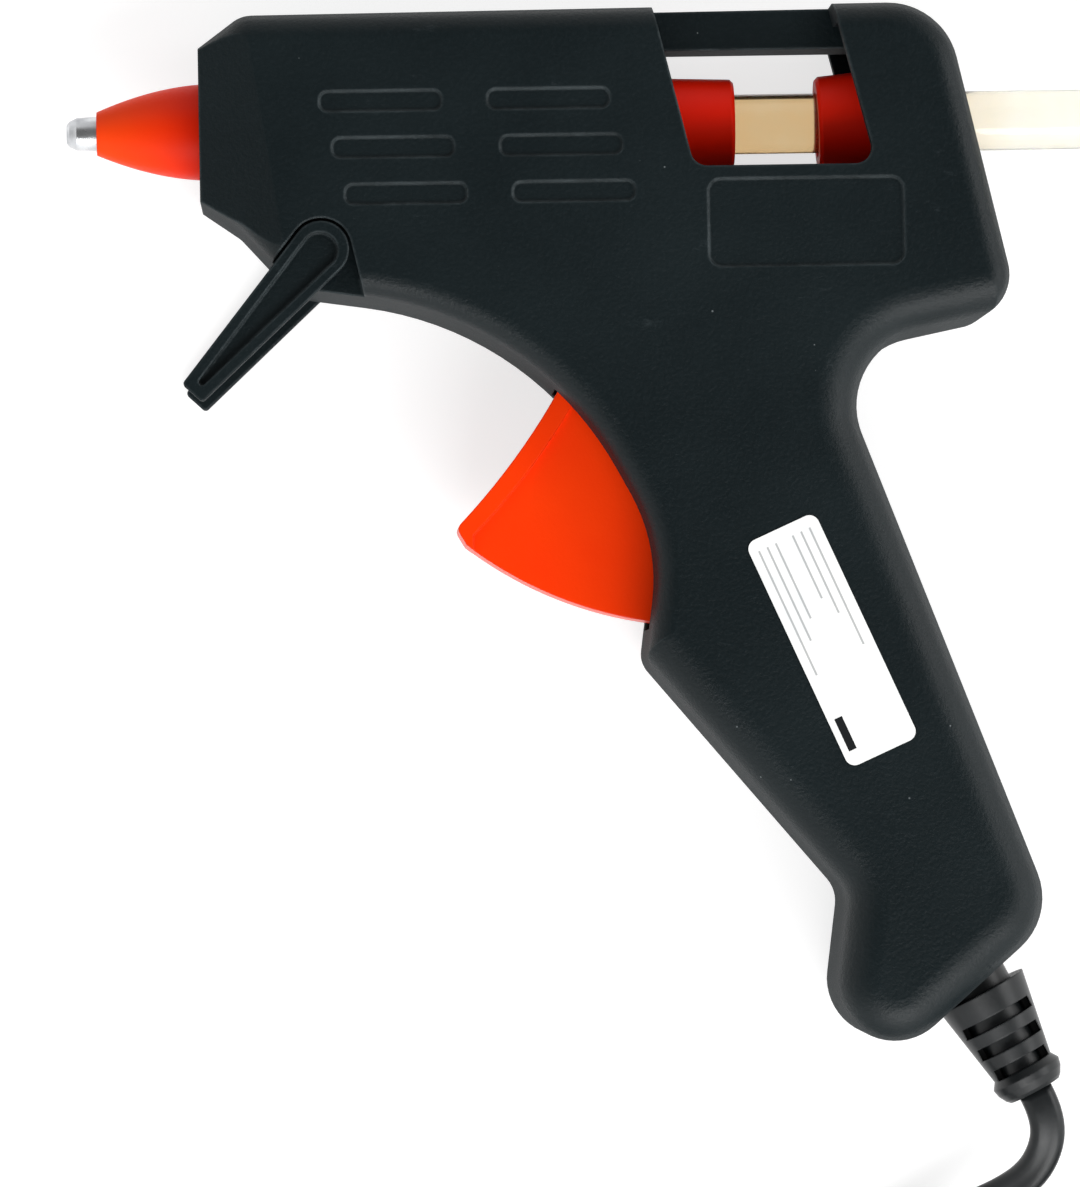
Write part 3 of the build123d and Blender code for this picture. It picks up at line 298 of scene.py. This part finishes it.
def cord_sheath():
    """Soft black PVC with a satin skin and a few lighter rubs."""
    m = Shader("cord_sheath", Roughness=0.36, Specular_IOR_Level=0.4)
    rub = m.noise(0.008, detail=5, roughness=0.7)
    m.into("Base Color", m.blend(m.ramp(rub, 0.5, 0.75, 0, 0.7), srgb(13, 17, 19), srgb(35, 39, 41)))
    m.into("Roughness", m.ramp(rub, 0.3, 0.7, 0.32, 0.44))
    m.bump(m.noise(0.0005), 0.00002, 0.5, edge=0.00025)
    return m.material


def plain(name, colour, shade, size, roughness):
    """A quiet two-tone material for the small inner pieces, in patches of that size."""
    m = Shader(name, Roughness=roughness)
    m.into("Base Color", m.blend(m.ramp(m.noise(size), 0.35, 0.7), colour, shade))
    m.bump(m.noise(size * 0.2, detail=2), 0.00002, 0.5)
    return m.material


def braid():
    """A woven sleeve, as on the leads inside."""
    m = Shader("braid", Roughness=0.8)
    inputs = {"Vector": m.place, "Scale": 900.0, "Distortion": 0.4}
    weave = m.add("ShaderNodeTexWave", inputs, bands_direction="DIAGONAL").outputs["Fac"]
    m.into("Base Color", m.blend(weave, srgb(196, 190, 172), srgb(236, 232, 220)))
    m.bump(weave, 0.00005, 0.8)
    return m.material


# The label's rules and bar, in millimetres along and across it from its middle.
LABEL_TURN = math.radians(66.0)
RULE_START = -13.2
RULE_HALF = 0.12
RULES = [(3.2, 2.0), (2.1, -2.6), (1.0, -5.0), (-1.2, -3.4), (-2.3, -1.0), (-3.4, 3.0)]  # across, end
BAR_ALONG = (8.6, 12.8)
BAR_ACROSS = (-3.75, -2.75)


def sticker():
    """White film, with faint blank rules and one bar in place of print."""
    m = Shader("sticker", Roughness=0.3, Specular_IOR_Level=0.45)
    low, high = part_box("rating_label")
    centre = (Vector(low) + Vector(high)) / 2
    to_middle = -(Matrix.Rotation(LABEL_TURN, 3, "Z") @ centre)
    inputs = {"Vector": m.place, "Rotation": (0, 0, LABEL_TURN), "Location": to_middle}
    turned = m.add("ShaderNodeMapping", inputs).outputs[0]
    along, across = m.axis("X", turned), m.axis("Y", turned)

    def within(value, start, end):
        past_start = m.math("GREATER_THAN", value, start * MM)
        before_end = m.math("LESS_THAN", value, end * MM)
        return m.math("MULTIPLY", past_start, before_end)

    rules = 0.0
    for middle, end in RULES:
        breadth = within(across, middle - RULE_HALF, middle + RULE_HALF)
        rule = m.math("MULTIPLY", breadth, within(along, RULE_START, end))
        rules = m.math("MAXIMUM", rules, rule)
    bar = m.math("MULTIPLY", within(across, *BAR_ACROSS), within(along, *BAR_ALONG))
    paper = m.blend(m.ramp(m.noise(0.004), 0.4, 0.7), srgb(252, 252, 250), srgb(240, 242, 242))
    ruled = m.blend(m.math("MULTIPLY", rules, 0.6), paper, srgb(120, 124, 128))
    m.into("Base Color", m.blend(bar, ruled, srgb(24, 26, 28)))
    m.bump(m.noise(0.003, detail=2), 0.00003, 0.3)
    return m.material


def dress(material, *names):
    for name in names:
        mesh = NODES[name].data
        mesh.materials.clear()
        mesh.materials.append(material)


def dress_outside():
    dress(shell_plastic(), "left_shell", "right_shell", "stand_leg_left", "stand_leg_right")
    orange = moulded_orange("orange_plastic", srgb(255, 60, 1), srgb(252, 54, 0), 0.34, 0.0004)
    dress(orange, "trigger")
    cover_fade = (at(-11, 0).x, at(-1, 0).x)
    cover = moulded_orange(
        "orange_silicone", srgb(255, 76, 1), srgb(255, 66, 0), 0.45, 0.0005, cover_fade
    )
    dress(cover, "nozzle_cover")
    collar = moulded_orange("red_silicone", srgb(255, 32, 1), srgb(248, 27, 1), 0.46, 0.0005)
    dress(collar, "inlet_sleeve", "feed_ring")
    dress(aluminium(), "nozzle_tip", "melt_chamber")
    dress(hot_melt(), "glue_stick")
    dress(sticker(), "rating_label")


def dress_inside():
    steel = plated("steel", srgb(190, 192, 195), srgb(155, 157, 159))
    dress(steel, "housing_screws", "heater_clip", "sleeve_clamp", "feed_pin", "feed_link", "link_pin")
    dress(steel, "trigger_pivot_pin", "return_spring", "stand_axle", "clamp_screws")
    brass = plated("brass", srgb(214, 178, 104), srgb(175, 145, 85))
    dress(brass, "electrode_upper", "electrode_lower", "crimp_sleeves")
    dress(plain("ptc_ceramic", srgb(70, 70, 74), srgb(52, 52, 56), 0.002, 0.7), "ptc_heater")
    film = plain("film", srgb(206, 138, 34), srgb(186, 118, 24), 0.004, 0.25)
    dress(film, "heater_film_upper", "heater_film_lower")
    dress(plain("clamp_fibre", srgb(150, 60, 36), srgb(128, 50, 30), 0.001, 0.6), "lead_clamp")
    dress(braid(), "live_lead", "neutral_lead", "lead_conductors")


# ---------------------------------------------------------------- lead

# Its places and sizes are in millimetres, as at() takes them.
LEAD_WIDTH = 4.2
LEAD_THICK = 2.5
LEAD_ROUTE = [
    (98.15, -116.57, 13.0),
    (99.52, -119.2, 13.0),
    (99.75, -123.2, 12.0),
    (97.6, -127.4, 9.6),
    (92.4, -130.4, 6.4),
    (84.2, -133.4, 3.6),
    (75.5, -136.4, 2.6),
]
TAIL_ROUTE = [
    (95.0, -170.6, 6.6),
    (101.6, -166.8, 6.9),
]
TURN_START = 0.014  # metres along the flat lead where it starts to turn on edge
TURN_RUN = 0.026

COIL_CENTRE = (66.0, -166.0)
COIL_START = math.radians(90)
COIL_TURNS = 7.68
COIL_LAYER_TURNS = 4.0  # turns in the lower layer
COIL_OUTER = 28.4
COIL_PITCH = 2.95
COIL_STEPS = 3  # pitches from a layer's outermost turn to its innermost
COIL_LOW = 2.6
COIL_WAVES = [(0.25, 5.1, 0.0), (0.15, 11.7, 1.0)]  # unevenness: size, pace and start
CLIMB_TURNS = 0.7  # what the lead takes to climb to the upper layer
POINTS_PER_TURN = 16

SECTION_STEPS = 9  # points round each of the two cores
WEB_ANGLE = 112  # degrees from a core's outer side to where the web meets it


def coil_points():
    """Turns wound inwards in the lower layer, then outwards in the upper one, a little uneven."""
    points = []
    count = int(COIL_TURNS * POINTS_PER_TURN)
    for i in range(count + 1):
        turn = i * COIL_TURNS / count
        if turn < COIL_LAYER_TURNS:
            radius = COIL_OUTER - COIL_PITCH * turn * COIL_STEPS / COIL_LAYER_TURNS
        else:
            share = (turn - COIL_LAYER_TURNS) / (COIL_TURNS - COIL_LAYER_TURNS)
            radius = COIL_OUTER - COIL_PITCH * COIL_STEPS * (1 - share)
        radius += sum(size * math.sin(turn * pace + start) for size, pace, start in COIL_WAVES)
        climb = min(max((turn - COIL_LAYER_TURNS + CLIMB_TURNS / 2) / CLIMB_TURNS, 0), 1)
        angle = COIL_START + turn * math.tau
        x = COIL_CENTRE[0] + radius * math.cos(angle)
        y = COIL_CENTRE[1] + radius * math.sin(angle)
        points.append((x, y, COIL_LOW + LEAD_WIDTH * climb * climb * (3 - 2 * climb)))
    return points


def spline_line(points):
    """The smooth line of a NURBS spline with these control points, as a list of points."""
    curve = bpy.data.curves.new("lead_line", "CURVE")
    curve.dimensions = "3D"
    curve.resolution_u = 6
    spline = curve.splines.new("NURBS")
    spline.points.add(len(points) - 1)
    for point, place in zip(spline.points, points):
        point.co = (*at(*place), 1.0)
    spline.order_u = 3
    spline.use_endpoint_u = True
    holder = bpy.data.objects.new("lead_line", curve)
    mesh = bpy.data.meshes.new_from_object(holder)
    line = [vertex.co.copy() for vertex in mesh.vertices]
    bpy.data.objects.remove(holder)
    bpy.data.curves.remove(curve)
    bpy.data.meshes.remove(mesh)
    return line


def tangents(line):
    """The line's direction at each of its points, from the points before and after."""
    ends = [line[0], *line, line[-1]]
    return [(after - before).normalized() for before, after in zip(ends, ends[2:])]


def twin_section():
    """The flat twin lead's section, along its width and thickness: two round cores and a web."""
    core = LEAD_THICK / 2
    centre = LEAD_WIDTH / 2 - core
    section = []
    for side in (1, -1):
        for i in range(SECTION_STEPS):
            angle = math.radians(-WEB_ANGLE + 2 * WEB_ANGLE * i / (SECTION_STEPS - 1))
            across = side * (centre + core * math.cos(angle))
            section.append((across * MM, side * core * math.sin(angle) * MM))
    return section


def width_side(share, tangent):
    """Which way the lead's width points: level with the table at share 0, on edge at 1."""
    sideways = tangent.cross(Vector((0, 0, 1))).normalized()
    upward = sideways.cross(tangent).normalized()
    angle = math.radians(90) * share
    return (sideways * math.cos(angle) + upward * math.sin(angle)).normalized()


def sweep(name, line, sides, section):
    """A mesh tube along a line, with its section's first axis along the given sides."""
    vertices, faces = [], []
    for place, tangent, side in zip(line, tangents(line), sides):
        out = tangent.cross(side).normalized()
        vertices += [place + side * across + out * thick for across, thick in section]
    count = len(section)
    for start in range(0, len(vertices) - count, count):
        for k in range(count):
            a, b = start + k, start + (k + 1) % count
            faces.append((a, b, b + count, a + count))
    faces.append(tuple(reversed(range(count))))
    faces.append(tuple(range(len(vertices) - count, len(vertices))))
    mesh = bpy.data.meshes.new(name)
    mesh.from_pydata(vertices, [], faces)
    mesh.shade_smooth()
    piece = bpy.data.objects.new(name, mesh)
    bpy.context.scene.collection.objects.link(piece)
    return piece


def add_lead():
    """The lead from the boot to the plug as one mesh, and the materials of what is on it."""
    line = spline_line(LEAD_ROUTE + coil_points() + TAIL_ROUTE)
    run = [0.0, *accumulate((b - a).length for a, b in zip(line, line[1:]))]
    turned = [min(max((done - TURN_START) / TURN_RUN, 0), 1) for done in run]
    sides = [width_side(share, tangent) for share, tangent in zip(turned, tangents(line))]
    lead = sweep("lead", line, sides, twin_section())
    sheath = cord_sheath()
    lead.data.materials.append(sheath)
    dress(sheath, "strain_relief", "inner_lead", "plug_body", "plug_pin_sleeves")
    dress(nickel(), "plug_pins")
    dress(plain("tie_strap", srgb(34, 36, 38), srgb(24, 26, 28), 0.001, 0.5), "coil_tie")
    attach(lead, "housing")
    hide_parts("cord_tube", "cord_coil", "cord_tail")


# ---------------------------------------------------------------- stage

FLOOR_HALF = 2.0
FLOOR_TONE = (0.5, 0.5, 0.5, 1)
FLOOR_GLOW = 0.7  # brings the floor to white in the picture, with no light on the object

TENT_ZENITH = 0.14  # dark over the object, where a photographer's lens would be
TENT_SIDE = 0.74
TENT_FRONT = 0.65  # more from the side that the handle points to
TENT_TURN = (0.5, -0.85, 0)  # where that side is
TENT_SPREAD = (-0.2, 0.95)  # how far towards it a direction points where it starts and is full
RING_SPREAD = (0.88, 0.55)  # how far up a direction points where the bright ring starts and is full

LAMP_AIM = at(45, -50, 13)
LAMPS = [  # name, place, size in metres, watts
    ("front", at(230, -740, 680), (0.8, 0.45), 6.4),
    ("rear", at(800, 40, 420), (0.6, 0.35), 1.85),
]


def add_floor():
    """A sheet that shows as white to the camera and in gloss, and still takes shadows."""
    mesh = bpy.data.meshes.new("floor")
    corners = [(x * FLOOR_HALF, y * FLOOR_HALF, 0) for x, y in ((-1, -1), (1, -1), (1, 1), (-1, 1))]
    mesh.from_pydata(corners, [], [(0, 1, 2, 3)])
    floor = bpy.data.objects.new("floor", mesh)
    bpy.context.scene.collection.objects.link(floor)
    m = Shader("floor", Roughness=0.9, Specular_IOR_Level=0.0, Base_Color=FLOOR_TONE, Emission_Color=WHITE)
    path = m.add("ShaderNodeLightPath").outputs
    seen = m.math("MAXIMUM", path["Is Camera Ray"], path["Is Glossy Ray"])
    seen = m.math("MAXIMUM", seen, path["Is Transmission Ray"])
    m.into("Emission Strength", m.math("MULTIPLY", seen, FLOOR_GLOW))
    mesh.materials.append(m.material)


def add_world():
    """A white tent: bright round the sides, most on the handle's side, and dark straight above."""
    world = bpy.data.worlds.new("studio")
    world.use_nodes = True
    nodes = Nodes(world.node_tree)
    direction = nodes.add("ShaderNodeTexCoord").outputs["Generated"]
    height = nodes.axis("Z", direction)
    ring = nodes.ramp(height, *RING_SPREAD, interpolation_type="SMOOTHSTEP")
    toward = nodes.dot(direction, TENT_TURN)
    side = nodes.ramp(toward, *TENT_SPREAD, TENT_SIDE, TENT_SIDE + TENT_FRONT)
    background = world.node_tree.nodes["Background"]
    nodes.set(background.inputs["Strength"], nodes.math("MULTIPLY_ADD", ring, side, TENT_ZENITH))
    nodes.set(background.inputs["Color"], WHITE)
    bpy.context.scene.world = world


def add_lamp(name, place, size, power):
    data = bpy.data.lights.new(name, "AREA")
    data.shape = "RECTANGLE"
    data.size, data.size_y = size
    data.energy = power
    lamp = bpy.data.objects.new(name, data)
    bpy.context.scene.collection.objects.link(lamp)
    lamp.location = place
    lamp.rotation_euler = (LAMP_AIM - lamp.location).to_track_quat("-Z", "Y").to_euler()


add_camera()
add_world()
for lamp in LAMPS:
    add_lamp(*lamp)
add_floor()
dress_outside()
dress_inside()
add_lead()

bpy.context.scene.view_settings.view_transform = "Standard"
